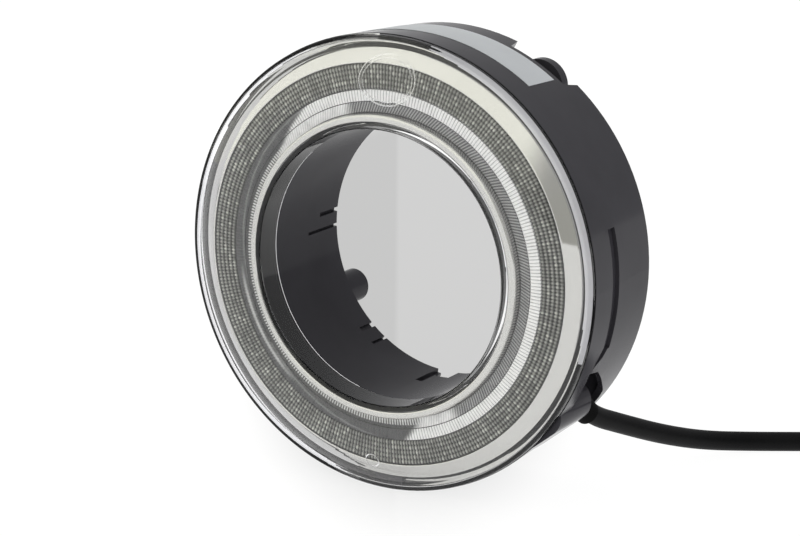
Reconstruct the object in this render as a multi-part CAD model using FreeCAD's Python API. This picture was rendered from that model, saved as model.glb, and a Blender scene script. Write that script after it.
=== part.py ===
import FreeCAD, Part
import math
import os
from FreeCAD import Vector

# Ring-shaped signal lamp (daytime running light, position light and direction
# indicator) that surrounds a separate round headlamp module.
#
# Frame: the lamp's axis is the Y axis and light leaves towards -Y.  +Z is up and
# X points to the right as seen from the front.  The origin is on the axis, in the
# plane of the three rear mounting faces.  Places are given as a radius, a clock
# angle (degrees clockwise from the top, seen from the front) and a depth behind
# the front edge of the lens flange.

# Driving dimensions, in millimetres
MOUNT_DEPTH = 60.0          # lens flange's front edge to the mounting faces
RIM_R = 76.35               # housing's front rim, under the lens flange
REAR_R = 74.55              # housing's rear rim: the wall has draft
FLANGE_DEPTH = 2.45         # joint between lens and housing
REAR_DEPTH = 43.7           # housing's rear rim
SLEEVE_REAR = 44.5          # rear edge of the inner sleeve
BORE_R = 47.0               # inside of the sleeve
OPENING_R = 46.0            # smallest radius of the opening, at the lens collar
PLATE_FRONT = 22.0          # back plate between the optics and the rear channel
PLATE_REAR = 24.4
WALL = 2.2

BOLT_CIRCLE_R = 56.0        # three mounting bosses, 112 mm pitch circle
BOLT_ANGLES = (2.4, 122.4, 242.4)
CABLE_SIDE_BOLT = BOLT_ANGLES[1]    # its rib stops short of the cable
BOLT_BOSS_R = 5.9
INSERT_R = 3.3
INSERT_BORE_R = 2.1         # M5 core
INSERT_LENGTH = 10.0

VENT_ANGLE = 29.5
VENT_R = 64.0
VENT_BOSS_R = 9.0
VENT_END = 50.0
VENT_POCKET_R = 5.5

ENTRY_ANGLE = 126.6         # cable entry boss
ENTRY_R = 70.7
ENTRY_BOSS_R = 7.5
ENTRY_BORE_R = 4.6
ENTRY_FRONT = 3.4          # front end of the boss, level with the lens groove
LEAD_DEPTH = 18.9          # inner leads, behind the board
BAY_ANGLE = 124.0           # recess that the entry boss stands in
BAY_FLOOR = 68.8
BAY_WALL = 1.8

BOARD_FRONT = 16.0
BOARD_REAR = 17.6
BOARD_INNER = 51.0
BOARD_OUTER = 71.0
PAD_REAR = 17.9
SINK_OUTER = 65.3
SCREW_R = 68.4
SCREW_ANGLES = [38.0 + 60.0 * i for i in range(6)]

LED_DEPTH = 0.8             # height of an LED package on the board
PILLOW_LED_R = 62.5
GUIDE_LED_R = 55.0
PILLOW_LEDS = 24            # white and amber in turn
GUIDE_LEDS = 12
CAPACITOR_ANGLES = (186.0, 247.0, 252.0, 292.0, 298.0)
RESISTOR_ANGLES = (312, 317, 322, 327, 332, 345, 350, 355, 360, 365)

CABLE_R = 3.4
FLOOR_Z = -76.4             # the lamp stands on the rim of its flange
COIL_CENTRE = (162.0, 98.0)
COIL_R = 37.5               # middle of the coil's turns
COIL_START_ANGLE = 120.0    # from +X, counter-clockwise seen from above
COIL_TURNS = 10.0 / 3.0
COIL_PITCH = 7.0
COIL_START_Z = -72.0        # the tie passes under the coil
TIE_THICKNESS = 1.0
TIE_WIDTH = 3.6

PLUG_X = 196.0
PLUG_Z = -67.4
PLUG_WIDTH = 24.0
PLUG_HEIGHT = 18.0
PLUG_REAR = 26.0            # depths of the shell's rear face and mouth
PLUG_MOUTH = -8.0
LOCK_TRAVEL = 3.5

ORIGIN = Vector(0, 0, 0)
LAMP_AXIS = Vector(0, 1, 0)
UP = Vector(0, 0, 1)


# Helpers

def at(radius, angle, depth):
    """The point at a radius, clock angle and depth."""
    turn = math.radians(angle)
    return Vector(radius * math.sin(turn), depth - MOUNT_DEPTH, radius * math.cos(turn))


def spun(shape, angle):
    """A shape modelled at the top of the ring, moved round to a clock angle."""
    moved = shape.copy()
    moved.rotate(ORIGIN, LAMP_AXIS, angle)
    return moved


def turned(start, *steps):
    """A ring whose section is an outline of (radius, depth) points.

    A step is a point, or a pair of points for an arc through the first to the second.
    """
    def place(point):
        return Vector(point[0], point[1] - MOUNT_DEPTH, 0)

    edges = []
    here = start
    for step in steps + (start,):
        if isinstance(step[0], tuple):
            edges.append(Part.Arc(place(here), place(step[0]), place(step[1])).toShape())
            here = step[1]
        elif step != here:
            edges.append(Part.makeLine(place(here), place(step)))
            here = step
    ring = Part.Face(Part.Wire(edges)).revolve(ORIGIN, LAMP_AXIS, 360)
    if ring.Volume < 0:
        ring.reverse()
    return ring


def washer(inner, outer, front, rear):
    """A plain ring about the lamp's axis."""
    return turned((inner, front), (outer, front), (outer, rear), (inner, rear))


def rod(radius, front, rear, centre_r=0.0, angle=0.0):
    """A round bar along the lamp's axis direction."""
    return Part.makeCylinder(radius, rear - front, at(centre_r, angle, front), LAMP_AXIS)


def block(width, front, rear, low_r, high_r, angle=0.0):
    """A bar across the ring: width along the circle, low_r to high_r outwards."""
    corner = Vector(-width / 2, front - MOUNT_DEPTH, low_r)
    return spun(Part.makeBox(width, rear - front, high_r - low_r, corner), angle)


def prism(outline, low_r, high_r, angle):
    """An outline of (distance along the circle, depth) points, extruded outwards."""
    points = [Vector(x, depth - MOUNT_DEPTH, low_r) for x, depth in outline]
    face = Part.Face(Part.makePolygon(points + points[:1]))
    return spun(face.extrude(Vector(0, 0, high_r - low_r)), angle)


def wedge(first, last, radius, front, rear):
    """A slice of the lamp between two clock angles."""
    count = max(2, math.ceil(abs(last - first) / 15))
    rim = [at(radius, first + (last - first) * i / count, front) for i in range(count + 1)]
    points = [at(0, 0, front)] + rim
    face = Part.Face(Part.makePolygon(points + points[:1]))
    return face.extrude(Vector(0, rear - front, 0))


def box(x_size, y_size, z_size, centre_x, front, low_z):
    """A box given by its middle in X, its front depth and its underside."""
    return Part.makeBox(
        x_size, y_size, z_size, Vector(centre_x - x_size / 2, front - MOUNT_DEPTH, low_z)
    )


def wall_radius(depth):
    """The housing's outside radius, which shrinks towards the rear."""
    fraction = (depth - FLANGE_DEPTH) / (REAR_DEPTH - FLANGE_DEPTH)
    return RIM_R + (REAR_R - RIM_R) * fraction


def fused(shapes):
    whole = shapes[0]
    for shape in shapes[1:]:
        whole = whole.fuse(shape)
    return whole.removeSplitter()


def tube(route, radius, name=None):
    """A round tube along straight runs joined by tangent arcs."""
    edges = []
    radii = []
    here = route[0]
    for before, corner, after in zip(route, route[1:], route[2:]):
        into = (corner - before).normalize()
        out = (after - corner).normalize()
        reach = 0.45 * min((corner - before).Length, (after - corner).Length)
        half_turn = into.getAngle(out) / 2
        bend_r = reach / math.tan(half_turn)
        radii.append(round(bend_r, 1))
        start = corner - into * reach
        end = corner + out * reach
        inwards = (out - into).normalize()
        middle = corner + inwards * (bend_r / math.cos(half_turn) - bend_r)
        edges.append(Part.LineSegment(here, start).toShape())
        edges.append(Part.Arc(start, middle, end).toShape())
        here = end
    edges.append(Part.LineSegment(here, route[-1]).toShape())
    path = Part.Wire(edges)
    section = Part.Wire(Part.makeCircle(radius, route[0], route[1] - route[0]))
    solid = path.makePipeShell([section], True, False)
    if name:
        print(name, "length", round(path.Length, 1), "bend radii", radii)
        print(name, "volume / (section x length)",
              round(solid.Volume / (math.pi * radius ** 2 * path.Length), 4))
    return solid


def save(node, *shapes):
    """Write a node's solids, and stop if one of them is not a sound solid."""
    solids = [solid for shape in shapes for solid in shape.Solids]
    for solid in solids:
        assert solid.isValid() and solid.Volume > 0, node
    whole = solids[0] if len(solids) == 1 else Part.makeCompound(solids)
    whole.exportStep("parts/" + node + ".step")


# Lens: a clear domed ring with a narrow rim and an inner collar

LENS_OUTER_CURVE = ((60.5, -6.4), (47.2, -5.1))
LENS_INNER_CURVE = ((60.5, -4.2), (73.2, 0.75))
LENS_WALL_R = 74.2          # inside of the lens's rim
APPROVAL_PAD_R = 9.4
APPROVAL_PAD_AT = 62.4
PAD_HEIGHT = 0.25


def outer_lens():
    lens = turned(
        (76.2, FLANGE_DEPTH), (76.0, 0.5), ((75.7, -0.25), (75.0, -0.7)),
        LENS_OUTER_CURVE, ((46.3, -4.75), (OPENING_R, -3.9)), (OPENING_R, 5.5),
        (48.4, 5.5), (48.4, -2.4), LENS_INNER_CURVE, (LENS_WALL_R, 1.5),
        (LENS_WALL_R, FLANGE_DEPTH),
    )
    (mid_r, mid_depth), (end_r, end_depth) = LENS_OUTER_CURVE
    skin = turned(
        (75.0, -0.7 - PAD_HEIGHT),
        ((mid_r, mid_depth - PAD_HEIGHT), (end_r, end_depth - PAD_HEIGHT)),
        (end_r, -3.0), (75.0, -0.2),
    )
    pad = rod(APPROVAL_PAD_R, -10.0, -4.0, APPROVAL_PAD_AT, BOLT_ANGLES[0])
    return lens.fuse(skin.common(pad)).removeSplitter()


# Housing

TUBE_R = 49.6               # the sleeve runs on forward as a thin tube round the collar
TUBE_FRONT = -1.4
LEDGE_DEPTH = 5.0           # seat of the outer bezel's edge
LUG_FIRST = 175.6           # lug that keys the outer bezel at the bottom
LUG_LAST = 183.8
SLOT_DEPTH = 1.3

CLIP_SLOTS = [  # clock angle, width, front end of the slot
    (269.6, 1.1, 26.6), (276.4, 1.6, 33.5),
    (214.9, 1.1, 35.8), (222.8, 1.8, 36.4),
    (185.0, 2.6, 29.0),
    (31.0, 1.1, 30.0), (38.0, 1.1, 30.0),
    (91.0, 1.1, 30.0), (98.0, 1.1, 30.0),
]
RIB_ANGLES = [14.0, 47.0, 68.0, 89.0, 104.0, 160.0, 178.0, 196.0, 214.0, 228.0, 258.0,
              278.0, 298.0, 318.0, 338.0, 350.0]


def bay():
    """The recess in the wall beside the entry boss and behind it."""
    outline = [
        (-16.0, 10.5), (-14.5, 18.0), (-9.7, 24.9), (0.0, 37.1), (4.0, 39.2),
        (8.0, REAR_DEPTH - 4.0), (21.0, REAR_DEPTH - 4.0), (21.0, PLATE_REAR),
        (3.2, PLATE_REAR), (3.2, 10.5),
    ]
    return prism(outline, BAY_FLOOR, RIM_R + 4, BAY_ANGLE)


def bay_clearance(margin):
    """What pieces inside the lamp keep clear of: the bay's walls and the boss."""
    width = 30.3 + 2 * margin
    return block(width, 8.9 - margin, PLATE_FRONT + 0.5, BAY_FLOOR - BAY_WALL - margin,
                 RIM_R, BAY_ANGLE - 2.0)


def entry_boss():
    """A round boss that the lower wall flows into along tangent faces."""
    boss = rod(ENTRY_BOSS_R, ENTRY_FRONT, PLATE_REAR, ENTRY_R, ENTRY_ANGLE)
    wall_r = wall_radius(12.0)
    tangent = math.degrees(math.acos((wall_r - ENTRY_BOSS_R) / ENTRY_R))
    centre = at(ENTRY_R, ENTRY_ANGLE, ENTRY_FRONT)
    low = ENTRY_ANGLE + tangent
    step = at(ENTRY_BOSS_R, low, MOUNT_DEPTH)
    points = [centre, centre + step, at(wall_r - 0.2, low, ENTRY_FRONT),
              at(ENTRY_R, low, ENTRY_FRONT)]
    face = Part.Face(Part.makePolygon(points + points[:1]))
    fairing = face.extrude(Vector(0, PLATE_REAR - ENTRY_FRONT, 0))
    solid = boss.fuse(fairing).removeSplitter()
    rear = [edge for edge in solid.Edges
            if abs(edge.CenterOfMass.y + MOUNT_DEPTH - PLATE_REAR) < 0.01
            and math.hypot(edge.CenterOfMass.x, edge.CenterOfMass.z) > wall_radius(24)]
    return solid.makeFillet(1.1, rear)


def arc_groove():
    """A shallow channel along the right-hand wall, tapering out at its lower end."""
    front = 15.0
    rear = 20.0
    deep = 1.3
    ring = turned(
        (wall_radius(front) - deep, front), (RIM_R + 2, front), (RIM_R + 2, rear),
        (wall_radius(rear) - deep, rear),
    )
    groove = ring.common(wedge(76.0, 106.5, 90.0, front, rear))
    tip = prism([(-4.2, front), (-4.2, rear), (0.0, front + 1.8), (3.0, 11.4), (0.6, 12.2)],
                wall_radius(front) - deep, RIM_R + 2, 108.6)
    return groove.fuse(tip)


def housing():
    shell = turned(
        (RIM_R, FLANGE_DEPTH), (REAR_R, REAR_DEPTH), (REAR_R - WALL, REAR_DEPTH),
        (72.6, PLATE_REAR), (49.4, PLATE_REAR), (49.2, SLEEVE_REAR), (BORE_R, SLEEVE_REAR),
        (BORE_R, 6.4), (48.7, 6.4), (48.7, TUBE_FRONT), (TUBE_R, TUBE_FRONT),
        (TUBE_R, PLATE_FRONT), (72.7, PLATE_FRONT),
        (73.1, 8.6), (70.5, 8.6), (70.5, 3.4), (71.4, 3.4), (71.4, 6.0), (73.8, 6.0),
        (73.8, LEDGE_DEPTH), (74.3, LEDGE_DEPTH), (74.3, FLANGE_DEPTH),
    )
    sealed_side = turned(
        (TUBE_R, 8.6), (73.1, 8.6), (72.7, PLATE_FRONT), (TUBE_R, PLATE_FRONT),
    )
    outer_boss = entry_boss().cut(sealed_side).cut(washer(40, 74.5, 0, 8.6))
    inner_walls = bay_clearance(0.0).common(rod(73.3, 8.9, PLATE_FRONT + 0.5))
    rear_boss = rod(ENTRY_BOSS_R, 8.9, PLATE_REAR, ENTRY_R, ENTRY_ANGLE)
    lug = washer(72.1, 75.0, 2.9, LEDGE_DEPTH).common(wedge(LUG_FIRST, LUG_LAST, 90, 2, 7))
    body = fused([shell, inner_walls, lug]).cut(bay())
    body = fused([body, outer_boss, rear_boss.cut(sealed_side.cut(bay_clearance(0.0)))])
    # A wall across the rear channel closes the bay behind the cable
    bay_end = washer(BOLT_CIRCLE_R, 73.0, REAR_DEPTH - 4.0, REAR_DEPTH - 2.0)
    body = fused([body, bay_end.common(wedge(BAY_ANGLE - 16.0, BAY_ANGLE + 18.0, 90.0,
                                             REAR_DEPTH - 4.0, REAR_DEPTH - 2.0))])

    added = []
    for angle in BOLT_ANGLES:
        added.append(rod(BOLT_BOSS_R, PLATE_REAR - 1, MOUNT_DEPTH, BOLT_CIRCLE_R, angle))
        rib_end = BOLT_CIRCLE_R if angle == CABLE_SIDE_BOLT else 73.0
        added.append(block(1.8, PLATE_REAR - 1, 41.0, 48.4, rib_end, angle))
    added.append(rod(VENT_BOSS_R, PLATE_REAR - 1, VENT_END, VENT_R, VENT_ANGLE))
    for angle in SCREW_ANGLES:
        added.append(rod(2.9, BOARD_REAR, PLATE_FRONT + 1, SCREW_R, angle))
        added.append(rod(2.9, PLATE_REAR - 1, 30.0, SCREW_R, angle))
    for angle in RIB_ANGLES:
        added.append(block(1.5, PLATE_REAR - 1, 34.0, 48.4, 73.0, angle))
    outside = rod(RIM_R + 3, -1.0, MOUNT_DEPTH + 1).cut(rod(48.2, -2.0, MOUNT_DEPTH + 2))
    body = fused([body] + [piece.common(outside) for piece in added])

    cuts = [arc_groove()]
    cuts.append(rod(ENTRY_BORE_R, 12.0, PLATE_REAR + 6, ENTRY_R, ENTRY_ANGLE))
    lead_way = Part.makeCylinder(
        2.4, 16.0, at(ENTRY_R, ENTRY_ANGLE, LEAD_DEPTH),
        at(68.2, 139.5, LEAD_DEPTH) - at(ENTRY_R, ENTRY_ANGLE, LEAD_DEPTH),
    )
    cuts.append(lead_way)
    for angle in BOLT_ANGLES:
        cuts.append(rod(INSERT_R, MOUNT_DEPTH - 12, MOUNT_DEPTH + 1, BOLT_CIRCLE_R, angle))
    cuts.append(rod(VENT_POCKET_R, 44.0, VENT_END + 1, VENT_R, VENT_ANGLE))
    cuts.append(rod(2.5, 18.0, 45.0, VENT_R, VENT_ANGLE))
    for angle in SCREW_ANGLES:
        cuts.append(rod(1.25, 10.0, 27.0, SCREW_R, angle))
    # The wall is lower beside the vent, with sloping shoulders
    cuts.append(prism([(-13.5, 46.0), (-11.2, 36.0), (11.2, 36.0), (13.0, 46.0)],
                      70.0, 80.0, VENT_ANGLE))
    # Grooves that weaken the sleeve's wall beside its spring tongues
    for angle, width, front in CLIP_SLOTS:
        cuts.append(block(width, front, 46.0, 45.0, BORE_R + SLOT_DEPTH, angle))
    cuts.append(prism([(-4.4, 37.4), (1.0, 37.4), (3.0, 46.0), (-4.4, 46.0)],
                      45.0, 50.6, 182.0))
    cuts.append(prism([(-6.0, 46.0), (-1.0, 44.2), (5.0, 44.2), (5.0, 46.0)],
                      45.0, 50.6, 174.0))
    for cut in cuts:
        body = body.cut(cut)
    return body


# Trim, optics and electronics, from the front to the rear

def outer_bezel():
    band = turned(
        (74.0, 4.2), (74.0, LEDGE_DEPTH), (71.7, LEDGE_DEPTH), (71.7, 3.4), (70.6, 3.4),
        (68.1, 1.9), (68.1, 8.0), (66.7, 8.0), (66.7, 0.2), ((66.85, -0.25), (67.3, -0.35)),
        (71.6, 2.45), ((72.1, 2.9), (72.2, 3.5)), ((72.5, 4.05), (73.1, 4.2)),
    )
    band = band.cut(washer(72.0, 76.0, 2.0, 6.0).common(
        wedge(LUG_FIRST - 0.4, LUG_LAST + 0.4, 90, 1, 7)))
    hooks = [washer(66.7, 68.1, 7.0, BOARD_FRONT).common(wedge(a - 4, a + 4, 90, 7, 16))
             for a in (68.0, 188.0, 308.0)]
    return fused([band] + hooks)


def inner_bezel():
    return turned(
        (50.9, 6.4), (50.0, 6.4), (50.0, TUBE_FRONT), (48.6, TUBE_FRONT), (48.6, -1.7),
        ((48.95, -2.45), (49.8, -2.75)), ((50.6, -2.45), (50.9, -1.7)),
    )


OPTIC_FRONT = -0.2
SLAB_REAR = 1.9


def pillow_optic():
    return turned(
        (58.4, OPTIC_FRONT), (66.5, OPTIC_FRONT), (66.5, 9.0), (65.3, 9.0), (65.3, SLAB_REAR),
        (59.9, SLAB_REAR), (59.9, 9.0), (58.7, 9.0), (58.7, SLAB_REAR), (58.4, SLAB_REAR),
    )


def light_guide():
    return turned(
        (51.2, OPTIC_FRONT), (58.2, OPTIC_FRONT), (58.2, 6.0), (56.6, 6.0), (56.2, 13.0),
        (53.4, 13.0), (53.0, 6.0), (51.2, 6.0),
    )


def guide_carrier():
    walls = [washer(51.1, 52.8, 6.0, BOARD_FRONT), washer(56.8, 58.6, 6.0, BOARD_FRONT)]
    bridges = [block(3.0, 13.6, BOARD_FRONT, 52.0, 57.6, 15.0 + 30.0 * i)
               for i in range(GUIDE_LEDS)]
    return fused(walls + bridges)


def led_angles(count):
    return [(i + 0.5) * 360.0 / count for i in range(count)]


def cup_ring():
    """The reflector behind the pillow optic, with one conical cup for each LED."""
    ring = washer(58.9, 66.4, 9.0, BOARD_FRONT)
    for angle in led_angles(PILLOW_LEDS):
        ring = ring.cut(Part.makeCone(
            3.5, 2.4, BOARD_FRONT - 9.0, at(PILLOW_LED_R, angle, 9.0), LAMP_AXIS))
    return ring


def circuit_board():
    board = washer(BOARD_INNER, BOARD_OUTER, BOARD_FRONT, BOARD_REAR)
    for angle in SCREW_ANGLES:
        board = board.cut(rod(1.7, 15.0, 18.0, SCREW_R, angle))
    return board.cut(bay_clearance(0.4))


def thermal_pad():
    pad = washer(BOARD_INNER + 0.8, SINK_OUTER - 0.5, BOARD_REAR, PAD_REAR)
    return pad.cut(rod(4.5, 17.0, 19.0, VENT_R, VENT_ANGLE))


def heat_sink():
    sink = washer(BOARD_INNER, SINK_OUTER, PAD_REAR, PLATE_FRONT)
    for inner in (52.6, 56.0, 59.4, 62.8):
        sink = sink.cut(washer(inner, inner + 1.6, 19.8, PLATE_FRONT + 1))
    return sink.cut(rod(4.5, 17.0, 23.0, VENT_R, VENT_ANGLE))


def leds(centre_r, angles, size):
    return [block(size, BOARD_FRONT - LED_DEPTH, BOARD_FRONT, centre_r - size / 2,
                  centre_r + size / 2, angle) for angle in angles]


def board_parts(angles, radial, along, high, centre_r):
    """Parts on the board's rear face, outside the heat sink."""
    return [block(along, BOARD_REAR, BOARD_REAR + high, centre_r - radial / 2,
                  centre_r + radial / 2, angle) for angle in angles]


def board_screw(angle):
    head = rod(2.0, 14.4, BOARD_FRONT, SCREW_R, angle)
    recess = rod(0.9, 14.0, 15.4, SCREW_R, angle)
    return head.cut(recess).fuse(rod(1.25, BOARD_FRONT, 25.5, SCREW_R, angle)).removeSplitter()


def threaded_insert(angle):
    front = MOUNT_DEPTH - INSERT_LENGTH
    body = rod(INSERT_R, front, MOUNT_DEPTH, BOLT_CIRCLE_R, angle)
    for groove in (front + 3.0, front + 6.0):
        ring = rod(INSERT_R + 1, groove, groove + 0.8, BOLT_CIRCLE_R, angle)
        body = body.cut(ring.cut(rod(INSERT_R - 0.4, groove - 1, groove + 2, BOLT_CIRCLE_R, angle)))
    return body.cut(rod(INSERT_BORE_R, front - 1, MOUNT_DEPTH + 1, BOLT_CIRCLE_R, angle))


def vent_cap():
    cap = rod(VENT_POCKET_R - 0.05, 45.2, 49.4, VENT_R, VENT_ANGLE)
    cap = cap.cut(rod(3.8, 45.0, 47.6, VENT_R, VENT_ANGLE))
    for angle in (0.0, 90.0):
        slot = Part.makeBox(12, 1.4, 1.4, Vector(-6, 45.2 - MOUNT_DEPTH, -0.7))
        slot.rotate(ORIGIN, LAMP_AXIS, angle)
        slot.translate(at(VENT_R, VENT_ANGLE, MOUNT_DEPTH))
        cap = cap.cut(slot)
    return cap


def type_label():
    first = 15.5
    last = 33.0
    thick = 0.15
    skin = turned(
        (wall_radius(first), first), (wall_radius(first) + thick, first),
        (wall_radius(last) + thick, last), (wall_radius(last), last),
    )
    return skin.common(wedge(-38.0, 36.0, 110.0, first, last))


# Cable entry, leads and cable

EXIT = at(ENTRY_R, ENTRY_ANGLE, PLATE_REAR)
LEAD_R = 0.75
LEAD_OFFSETS = (-1.7, 0.0, 1.7)

CABLE_ROUTE = [
    EXIT,
    Vector(59.0, 34.0 - MOUNT_DEPTH, -50.1),
    Vector(63.0, 48.5 - MOUNT_DEPTH, -56.3),
    Vector(69.4, 66.5 - MOUNT_DEPTH, -63.9),
    Vector(76.6, 85.2 - MOUNT_DEPTH, -70.2),
    Vector(87.5, 100.5 - MOUNT_DEPTH, -73.0),
    Vector(105.5, 111.3 - MOUNT_DEPTH, -73.0),
    Vector(124.5, 120.8 - MOUNT_DEPTH, -72.6),
    Vector(143.25, 130.5 - MOUNT_DEPTH, COIL_START_Z),
]
COIL_END_Z = COIL_START_Z + COIL_TURNS * COIL_PITCH
TAIL_ROUTE = [
    Vector(199.5, 98.0 - MOUNT_DEPTH, COIL_END_Z),
    Vector(199.9, 85.0 - MOUNT_DEPTH, -48.9),
    Vector(199.5, 71.5 - MOUNT_DEPTH, -54.0),
    Vector(198.0, 59.0 - MOUNT_DEPTH, -62.0),
    Vector(196.8, 47.5 - MOUNT_DEPTH, -66.9),
    Vector(PLUG_X, 37.0 - MOUNT_DEPTH, PLUG_Z),
]


def behind(depth):
    """Everything behind a depth, over the entry."""
    return rod(40.0, depth, depth + 60.0, ENTRY_R, ENTRY_ANGLE)


def grommet():
    plug = rod(ENTRY_BORE_R, 21.5, PLATE_REAR, ENTRY_R, ENTRY_ANGLE)
    for offset in LEAD_OFFSETS:
        plug = plug.cut(rod(LEAD_R, 20.0, 26.0, ENTRY_R + offset, ENTRY_ANGLE))
    return plug


def strain_relief(cable):
    way = (CABLE_ROUTE[1] - EXIT).normalize()
    flange = rod(5.6, PLATE_REAR, PLATE_REAR + 1.4, ENTRY_R, ENTRY_ANGLE)
    boot = Part.makeCone(5.3, CABLE_R + 0.7, 13.0, EXIT - way * 2.0, way)
    core = Part.makeCylinder(CABLE_R, 5.0, EXIT - way * 5.0, way)
    return flange.fuse(boot).common(behind(PLATE_REAR)).cut(core).cut(cable)


def inner_lead(offset):
    start = at(ENTRY_R + offset, ENTRY_ANGLE, PLATE_REAR)
    corner = at(ENTRY_R + offset, ENTRY_ANGLE, LEAD_DEPTH)
    end = at(68.2 + 0.75 * offset, 138.6, LEAD_DEPTH)
    return tube([start, corner, end], LEAD_R).cut(board_header())


def board_header():
    return block(7.6, BOARD_REAR, BOARD_REAR + 4.0, 65.9, 70.5, 140.3)


def coil():
    """The outer shape of the coiled length, lying on its side."""
    low = COIL_START_Z - CABLE_R
    high = COIL_END_Z + CABLE_R
    centre = Vector(COIL_CENTRE[0], COIL_CENTRE[1] - MOUNT_DEPTH, low)
    outer = Part.makeCylinder(COIL_R + CABLE_R, high - low, centre, UP)
    ring = outer.cut(Part.makeCylinder(COIL_R - CABLE_R, high - low, centre, UP))
    return ring.makeFillet(1.5, [edge for edge in ring.Edges if edge.Closed])


def coil_tie(angle):
    """A strap round the bundle of turns."""
    low = COIL_START_Z - CABLE_R
    high = COIL_END_Z + CABLE_R
    strap = Part.makeBox(
        2 * CABLE_R + 2 * TIE_THICKNESS, TIE_WIDTH, high - low + 2 * TIE_THICKNESS,
        Vector(COIL_R - CABLE_R - TIE_THICKNESS, -TIE_WIDTH / 2, low - TIE_THICKNESS),
    )
    head = Part.makeBox(3.4, 5.0, 6.0, Vector(COIL_R + CABLE_R + TIE_THICKNESS - 0.2, -2.5, -66))
    strap = strap.fuse(head)
    strap.rotate(ORIGIN, UP, angle)
    strap.translate(Vector(COIL_CENTRE[0], COIL_CENTRE[1] - MOUNT_DEPTH, 0))
    return strap


# Plug on the cable's end, lying on its flat side with its mouth towards -Y

PLUG_BASE = PLUG_Z - PLUG_HEIGHT / 2
PLUG_TOP = PLUG_Z + PLUG_HEIGHT / 2
PIN_PITCH = 6.0
LOCK_WIDTH = 9.0
LOCK_HEIGHT = 2.6
RAIL_GAP = 0.25


def along_y(shape):
    """The edges of a shape that run parallel to the plug."""
    return [edge for edge in shape.Edges
            if abs(abs(edge.tangentAt(edge.FirstParameter).y) - 1) < 1e-6]


def plug_shell():
    length = PLUG_REAR - PLUG_MOUTH
    shell = box(PLUG_WIDTH, length, PLUG_HEIGHT, PLUG_X, PLUG_MOUTH, PLUG_BASE)
    shell = shell.makeFillet(3.0, along_y(shell))
    mouth = box(PLUG_WIDTH - 5, 20.0, PLUG_HEIGHT - 5, PLUG_X, PLUG_MOUTH, PLUG_BASE + 2.5)
    mouth = mouth.makeFillet(1.5, along_y(mouth))
    rear = box(PLUG_WIDTH - 6, length, PLUG_HEIGHT - 6, PLUG_X, PLUG_MOUTH, PLUG_BASE + 3)
    rear = rear.makeFillet(2.0, along_y(rear))
    shell = shell.cut(mouth).cut(rear)
    rail_length = 20.0
    rail_front = 2.0
    for side in (-1, 1):
        middle = PLUG_X + side * (LOCK_WIDTH / 2 + RAIL_GAP + 0.9)
        shell = shell.fuse(box(1.8, rail_length, 3.4, middle, rail_front, PLUG_TOP - 0.3))
        lip_middle = PLUG_X + side * (LOCK_WIDTH / 2 + RAIL_GAP + 0.15)
        shell = shell.fuse(box(3.3, rail_length, 0.9, lip_middle, rail_front,
                               PLUG_TOP + LOCK_HEIGHT / 2 + 0.6))
    for i in range(3):
        for side in (-1, 1):
            shell = shell.fuse(box(1.0, 1.6, 8.0, PLUG_X + side * PLUG_WIDTH / 2,
                                   13.0 + 3.4 * i, PLUG_Z - 4))
    return shell.removeSplitter()


def plug_lock():
    """A slide that is pulled back along the shell before the plug can be released."""
    low = PLUG_TOP + 0.2
    foot = box(LOCK_WIDTH, 11.0, LOCK_HEIGHT / 2 + 0.1, PLUG_X, 4.0, low)
    tongue = box(LOCK_WIDTH - 3.4, 11.0, LOCK_HEIGHT + 0.6, PLUG_X, 4.0, low)
    slide = foot.fuse(tongue)
    for i in range(4):
        slide = slide.fuse(box(LOCK_WIDTH - 3.4, 0.8, 0.5, PLUG_X, 8.0 + 1.7 * i,
                               low + LOCK_HEIGHT + 0.5))
    nose = box(4.0, 3.0, 1.2, PLUG_X, 1.2, low)
    return slide.fuse(nose).removeSplitter()


def terminal_holder():
    holder = box(PLUG_WIDTH - 6.2, 11.0, PLUG_HEIGHT - 6.2, PLUG_X, 8.0, PLUG_BASE + 3.1)
    holder = holder.makeFillet(1.9, along_y(holder))
    for x in (-1, 1):
        for z in (-1, 1):
            holder = holder.cut(box(1.5, 30.0, 1.5, PLUG_X + x * PIN_PITCH / 2, 0.0,
                                    PLUG_Z + z * PIN_PITCH / 2 - 0.75))
    return holder


def terminals():
    return [box(1.5, 22.0, 1.5, PLUG_X + x * PIN_PITCH / 2, -1.0,
                PLUG_Z + z * PIN_PITCH / 2 - 0.75) for x in (-1, 1) for z in (-1, 1)]


def mouth_seal():
    outer = box(PLUG_WIDTH - 5, 2.4, PLUG_HEIGHT - 5, PLUG_X, 9.6, PLUG_BASE + 2.5)
    outer = outer.makeFillet(1.5, along_y(outer))
    inner = box(PLUG_WIDTH - 9, 4.0, PLUG_HEIGHT - 9, PLUG_X, 9.0, PLUG_BASE + 4.5)
    return outer.cut(inner)


def wire_seal():
    seal = box(PLUG_WIDTH - 6, 5.0, PLUG_HEIGHT - 6, PLUG_X, 21.0, PLUG_BASE + 3)
    seal = seal.makeFillet(2.0, along_y(seal))
    return seal.cut(bar(CABLE_R, 20.0, 27.0))


def bar(radius, front, rear):
    """A round bar on the plug's axis."""
    start = Vector(PLUG_X, front - MOUNT_DEPTH, PLUG_Z)
    return Part.makeCylinder(radius, rear - front, start, LAMP_AXIS)


def plug_boot():
    collar = box(PLUG_WIDTH - 1, 3.0, PLUG_HEIGHT - 1, PLUG_X, PLUG_REAR, PLUG_BASE + 0.5)
    collar = collar.makeFillet(2.5, along_y(collar))
    taper = Part.makeCone(7.5, CABLE_R + 1.2, 8.0,
                          Vector(PLUG_X, PLUG_REAR + 3 - MOUNT_DEPTH, PLUG_Z), LAMP_AXIS)
    return collar.fuse(taper).cut(bar(CABLE_R, 20.0, 40.0)).removeSplitter()


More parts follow.
